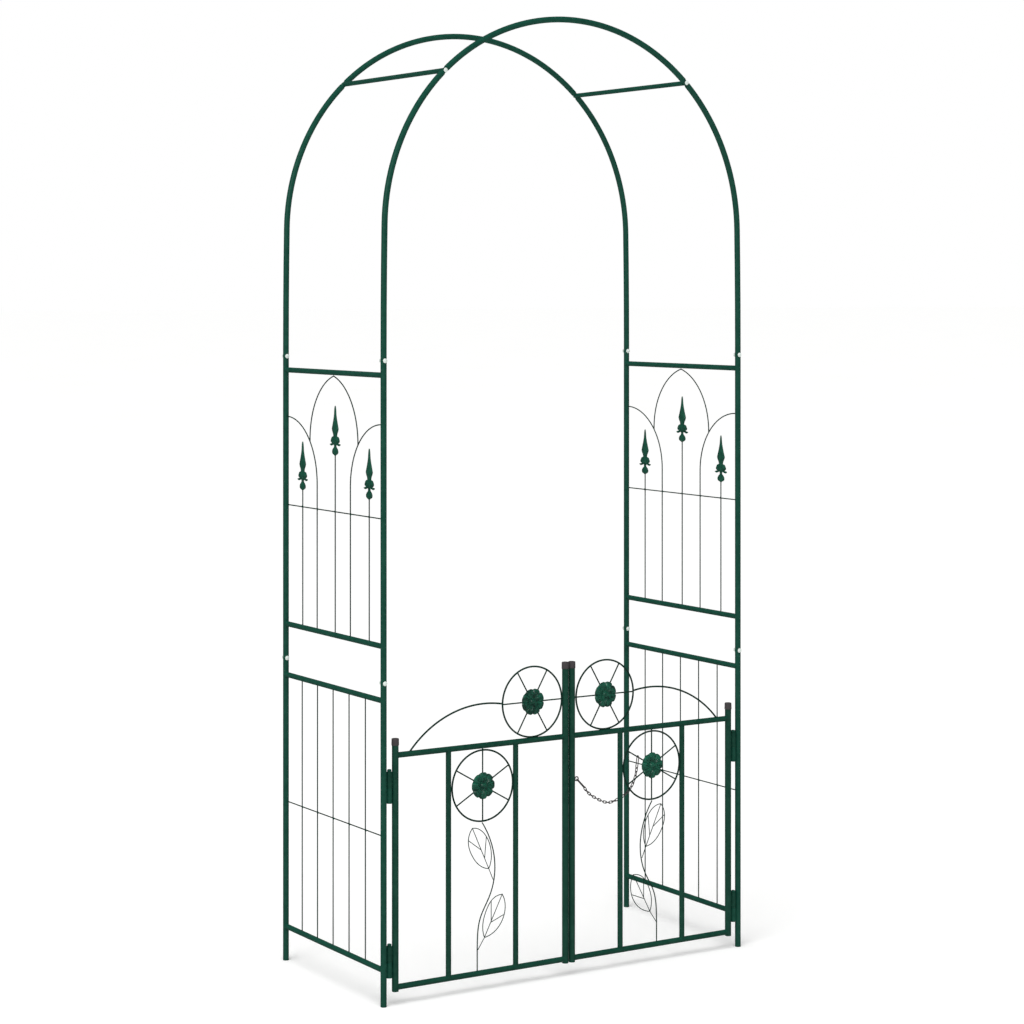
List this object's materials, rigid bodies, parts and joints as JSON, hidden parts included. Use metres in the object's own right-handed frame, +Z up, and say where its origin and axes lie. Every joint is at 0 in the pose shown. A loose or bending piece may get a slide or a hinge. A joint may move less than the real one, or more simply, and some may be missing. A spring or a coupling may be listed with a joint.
{
  "type": "metal trellis arch",
  "caption": "Tall round-topped garden arch of steel tube with welded trellis side panels, a double gate with ring and leaf ornament, and a hanging chain.",
  "frame": {"origin": "on the ground, in the middle of the arch", "axes": "+X to the right for someone facing the gate, +Y away from them, +Z up; the gate is on the -Y side"},
  "size_m": [1.085, 0.5381, 2.4085],
  "materials": {
    "green_tube": "satin powder coat on steel tube",
    "green_wire": "satin powder coat on steel wire",
    "green_castings": "satin powder coat on cast iron",
    "zinc_bolts": "bright zinc plated steel",
    "zinc_chain": "zinc plated steel chain",
    "cap_plastic": "moulded dark grey polyethylene"
  },
  "bodies": {
    "frame": {"crossbar_bolts": "zinc_bolts", "crossbars": "green_tube", "front_arch_crown": "green_tube", "front_arch_left_leg": "green_tube", "front_arch_right_leg": "green_tube", "left_cross_wires": "green_wire", "left_gothic_wires": "green_wire", "left_lower_front_post": "green_tube", "left_lower_rails": "green_tube", "left_lower_rear_post": "green_tube", "left_lower_upright_wires": "green_wire", "left_post_knuckles": "green_tube", "left_spear_wires": "green_wire", "left_spearheads": "green_castings", "left_upper_front_post": "green_tube", "left_upper_rails": "green_tube", "left_upper_rear_post": "green_tube", "post_bolts": "zinc_bolts", "post_nuts": "zinc_bolts", "rear_arch_crown": "green_tube", "rear_arch_left_leg": "green_tube", "rear_arch_right_leg": "green_tube", "right_cross_wires": "green_wire", "right_gothic_wires": "green_wire", "right_lower_front_post": "green_tube", "right_lower_rails": "green_tube", "right_lower_rear_post": "green_tube", "right_lower_upright_wires": "green_wire", "right_post_knuckles": "green_tube", "right_spear_wires": "green_wire", "right_spearheads": "green_castings", "right_upper_front_post": "green_tube", "right_upper_rails": "green_tube", "right_upper_rear_post": "green_tube"},
    "left_leaf": {"left_leaf_bars": "green_tube", "left_leaf_caps": "cap_plastic", "left_leaf_hinge_stile": "green_tube", "left_leaf_knuckles": "green_tube", "left_leaf_leaves": "green_wire", "left_leaf_meeting_stile": "green_tube", "left_leaf_rails": "green_tube", "left_leaf_rings": "green_wire", "left_leaf_rosettes": "green_castings", "left_leaf_scroll": "green_wire", "left_leaf_stem": "green_wire"},
    "right_leaf": {"chain_eye": "zinc_chain", "right_leaf_bars": "green_tube", "right_leaf_caps": "cap_plastic", "right_leaf_hinge_stile": "green_tube", "right_leaf_knuckles": "green_tube", "right_leaf_leaves": "green_wire", "right_leaf_meeting_stile": "green_tube", "right_leaf_rails": "green_tube", "right_leaf_rings": "green_wire", "right_leaf_rosettes": "green_castings", "right_leaf_scroll": "green_wire", "right_leaf_stem": "green_wire"},
    "chain": {"chain_end_links": "zinc_chain", "chain_links": "zinc_chain"}
  },
  "joints": [
    {"name": "left_gate_hinge", "type": "hinge", "parent": "frame", "child": "left_leaf", "pos_m": [-0.5168, -0.25735, 0.3], "axis": [0, 0, -1], "range_deg": [-88, 110]},
    {"name": "right_gate_hinge", "type": "hinge", "parent": "frame", "child": "right_leaf", "pos_m": [0.5168, -0.25735, 0.3], "axis": [0, 0, 1], "range_deg": [-88, 110]},
    {"name": "chain_swing", "type": "hinge", "parent": "right_leaf", "child": "chain", "pos_m": [0.02779, -0.25702, 0.48799], "axis": [0.977, -0.0097, 0.213], "range_deg": [0, 30]}
  ]
}
